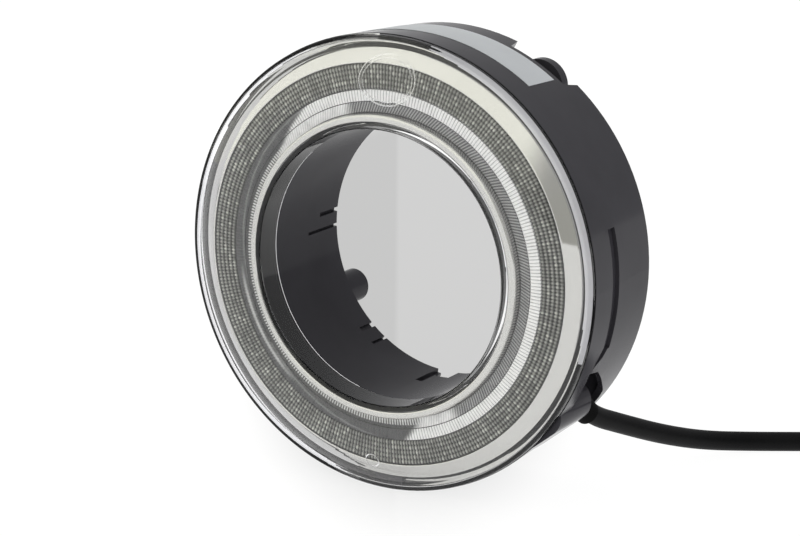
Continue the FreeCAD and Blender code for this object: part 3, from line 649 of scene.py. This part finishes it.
def cad_finishes():
    finish = {
        "housing": HOUSING,
        "outer_lens_seal": RUBBER,
        "inner_lens_seal": RUBBER,
        "cable_grommet": RUBBER,
        "guide_carrier": moulded("carrier_plastic", (0.10, 0.10, 0.10), 0.4),
        "led_cup_reflector": metal("cup_reflector", (0.45, 0.45, 0.44), 0.2),
        "circuit_board": moulded("solder_mask", (0.80, 0.82, 0.79), 0.35),
        "daytime_leds": moulded("phosphor_white", (0.85, 0.75, 0.30), 0.5),
        "indicator_leds": moulded("phosphor_amber", (0.85, 0.35, 0.05), 0.5),
        "position_leds": moulded("phosphor_small", (0.85, 0.78, 0.36), 0.5),
        "driver_chips": moulded("chip_epoxy", (0.02, 0.02, 0.02), 0.5),
        "power_inductors": moulded("ferrite", (0.09, 0.09, 0.1), 0.6),
        "board_capacitors": moulded("ceramic", (0.32, 0.22, 0.13), 0.45),
        "board_resistors": moulded("resistor_film", (0.03, 0.03, 0.035), 0.4),
        "board_header": moulded("header_nylon", (0.8, 0.78, 0.68), 0.45),
        "inner_leads": moulded("lead_insulation", (0.25, 0.03, 0.02), 0.4),
        "thermal_pad": moulded("thermal_silicone", (0.35, 0.38, 0.42), 0.7),
        "heat_sink": metal("sink_aluminium", (0.72, 0.73, 0.74), 0.35, 0.00003),
        "board_screws": metal("zinc", (0.62, 0.63, 0.65), 0.28, 0.00002),
        "threaded_inserts": metal("insert_brass", (0.75, 0.55, 0.25), 0.3, 0.00003),
        "vent_membrane": moulded("membrane_weave", (0.75, 0.75, 0.73), 0.8),
        "vent_cap": moulded("vent_plastic", (0.03, 0.03, 0.032), 0.5),
        "type_label": moulded("label_foil", (0.585, 0.61, 0.64), 0.40, 0.00002, 0.04),
        "strain_relief": moulded("strain_relief_rubber", (0.003, 0.003, 0.003), 0.7,
                                 grain=0.0001, ior=1.12),
        "coil_ties": moulded("tie_nylon", (0.015, 0.015, 0.015), 0.4),
        "plug_shell": moulded("plug_plastic", (0.02, 0.02, 0.022), 0.42),
        "plug_boot": moulded("boot_plastic", (0.03, 0.03, 0.03), 0.6),
        "plug_lock": moulded("lock_plastic", (0.45, 0.02, 0.015), 0.38),
        "terminal_holder": moulded("holder_plastic", (0.12, 0.12, 0.13), 0.45),
        "plug_terminals": metal("tin_plate", (0.75, 0.75, 0.74), 0.22),
        "mouth_seal": moulded("seal_silicone", (0.62, 0.16, 0.03), 0.5),
        "wire_seal": moulded("wire_seal_silicone", (0.60, 0.15, 0.03), 0.5),
    }
    for name, material in finish.items():
        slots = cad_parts[name].data.materials
        for i in range(len(slots)):
            slots[i] = material


# Studio

def toward(azimuth, elevation):
    """Direction from the lamp; azimuth 0 is its front, growing towards +X."""
    a = math.radians(azimuth)
    e = math.radians(elevation)
    return Vector((math.sin(a) * math.cos(e), -math.cos(a) * math.cos(e), math.sin(e)))


def world_lobe(tree, direction, below, axis, inner, outer, level):
    """Within a cone about axis the sky takes the given level, with a soft edge."""
    dot = tree.nodes.new("ShaderNodeVectorMath")
    dot.operation = "DOT_PRODUCT"
    tree.links.new(direction, dot.inputs[0])
    dot.inputs[1].default_value = axis
    ramp = tree.nodes.new("ShaderNodeMapRange")
    ramp.interpolation_type = "SMOOTHSTEP"
    ramp.inputs["From Min"].default_value = math.cos(math.radians(outer))
    ramp.inputs["From Max"].default_value = math.cos(math.radians(inner))
    tree.links.new(dot.outputs["Value"], ramp.inputs["Value"])
    mix = tree.nodes.new("ShaderNodeMix")
    mix.data_type = "RGBA"
    tree.links.new(ramp.outputs["Result"], mix.inputs["Factor"])
    tree.links.new(below, mix.inputs[6])
    mix.inputs[7].default_value = (*level, 1)
    return mix.outputs[2]


SKY = (0.60, 0.60, 0.61)
SKY_LOBES = [
    # azimuth, elevation, inner and outer half angle, level
    (-38.0, 40.0, 46.0, 60.0, (1.28, 1.28, 1.19)),
    (-92.0, 12.0, 24.0, 40.0, (1.28, 1.28, 1.19)),
    (40.0, -4.0, 10.0, 42.0, (0.50, 0.50, 0.47)),
    (-22.0, 68.0, 8.0, 14.0, (0.10, 0.12, 0.20)),
]
KEY_DIRECTION = toward(-45.0, 40.0)
KEY_DISTANCE = 2.5
KEY_SIZE = 2.4
KEY_POWER = 0.8
CAMERA_AZIMUTH = 31.44
CAMERA_ELEVATION = 14.14
CAMERA_DISTANCE = 0.7982
CAMERA_TARGET = (6.22, -MOUNT_DEPTH, 0.36)
FOCAL_LENGTH = 110.57

# The floor has a painted shadow: a grey patch, seen through the lamp's opening, an ellipse that
# points away from the camera, with a darker and a lighter part.  Its edge and step are parts of
# its size.
FLOOR_LIGHT = 0.96
PATCH_CENTRE = (-0.178, 0.250)
PATCH_SIZE = (0.060, 0.300)
PATCH_EDGE = (0.85, 1.45)
PATCH_STEP = (-0.12, -0.08)
PATCH_LIGHT = (0.50, 0.56)


def floor_paint():
    """Pale paint with a light of its own, so that it looks even, and the painted shadow: a grey
    patch.
    """
    pale = new_material("floor_paint", (0.08, 0.08, 0.08), 0.8)
    shader = shader_of(pale)
    shader.inputs["Specular IOR Level"].default_value = 0.05
    shader.inputs["Emission Color"].default_value = (1, 1, 1, 1)
    place = add(pale, "ShaderNodeTexCoord")
    patch = add(pale, "ShaderNodeMapping", vector_type="TEXTURE")
    patch.inputs["Location"].default_value = (*PATCH_CENTRE, FLOOR_Z)
    patch.inputs["Rotation"].default_value = (0, 0, math.radians(CAMERA_AZIMUTH))
    patch.inputs["Scale"].default_value = (*PATCH_SIZE, 1)
    across = add(pale, "ShaderNodeSeparateXYZ")
    step = add(pale, "ShaderNodeMapRange")
    step.inputs["From Min"].default_value, step.inputs["From Max"].default_value = PATCH_STEP
    step.inputs["To Min"].default_value, step.inputs["To Max"].default_value = PATCH_LIGHT
    length = add(pale, "ShaderNodeVectorMath", operation="LENGTH")
    glow = add(pale, "ShaderNodeMapRange", interpolation_type="SMOOTHSTEP")
    glow.inputs["From Min"].default_value, glow.inputs["From Max"].default_value = PATCH_EDGE
    glow.inputs["To Max"].default_value = FLOOR_LIGHT
    links = pale.node_tree.links
    links.new(place.outputs["Object"], patch.inputs["Vector"])
    links.new(patch.outputs["Vector"], across.inputs[0])
    links.new(across.outputs["X"], step.inputs["Value"])
    links.new(step.outputs["Result"], glow.inputs["To Min"])
    links.new(patch.outputs["Vector"], length.inputs[0])
    links.new(length.outputs["Value"], glow.inputs["Value"])
    links.new(glow.outputs["Result"], shader.inputs["Emission Strength"])
    return pale


def studio():
    ground = bpy.data.meshes.new("floor")
    half = 6.0
    ground.from_pydata([(-half, -half, FLOOR_Z), (half, -half, FLOOR_Z),
                        (half, half, FLOOR_Z), (-half, half, FLOOR_Z)], [], [(0, 1, 2, 3)])
    ground.materials.append(floor_paint())
    floor = bpy.data.objects.new("floor", ground)
    bpy.context.scene.collection.objects.link(floor)

    world = bpy.data.worlds.new("studio")
    bpy.context.scene.world = world
    world.use_nodes = True
    tree = world.node_tree
    place = tree.nodes.new("ShaderNodeTexCoord")
    base = tree.nodes.new("ShaderNodeRGB")
    base.outputs[0].default_value = (*SKY, 1)
    color = base.outputs[0]
    for azimuth, elevation, inner, outer, level in SKY_LOBES:
        color = world_lobe(tree, place.outputs["Generated"], color,
                           toward(azimuth, elevation), inner, outer, level)
    tree.links.new(color, tree.nodes["Background"].inputs["Color"])

    light = bpy.data.lights.new("key", "AREA")
    light.size = KEY_SIZE
    light.energy = KEY_POWER
    key = bpy.data.objects.new("key", light)
    key.location = KEY_DIRECTION * KEY_DISTANCE
    key.rotation_euler = KEY_DIRECTION.to_track_quat("Z", "Y").to_euler()
    bpy.context.scene.collection.objects.link(key)
    bpy.context.scene.view_settings.view_transform = "Standard"


def camera():
    back = toward(CAMERA_AZIMUTH, CAMERA_ELEVATION)
    eye = bpy.data.cameras.new("camera")
    eye.sensor_width = 36.0
    eye.lens = FOCAL_LENGTH
    eye.clip_start = 0.01
    view = bpy.data.objects.new("camera", eye)
    view.location = Vector(CAMERA_TARGET) * MM + back * CAMERA_DISTANCE
    view.rotation_euler = (-back).to_track_quat("-Z", "Y").to_euler()
    bpy.context.scene.collection.objects.link(view)
    bpy.context.scene.camera = view


lens()
weld_bead()
for number, mark in enumerate(LENS_MARKS):
    lens_mark(number, *mark)
outer_trim()
inner_trim()
pillow_ring()
guide_ring()
cable()
cad_finishes()
studio()
camera()
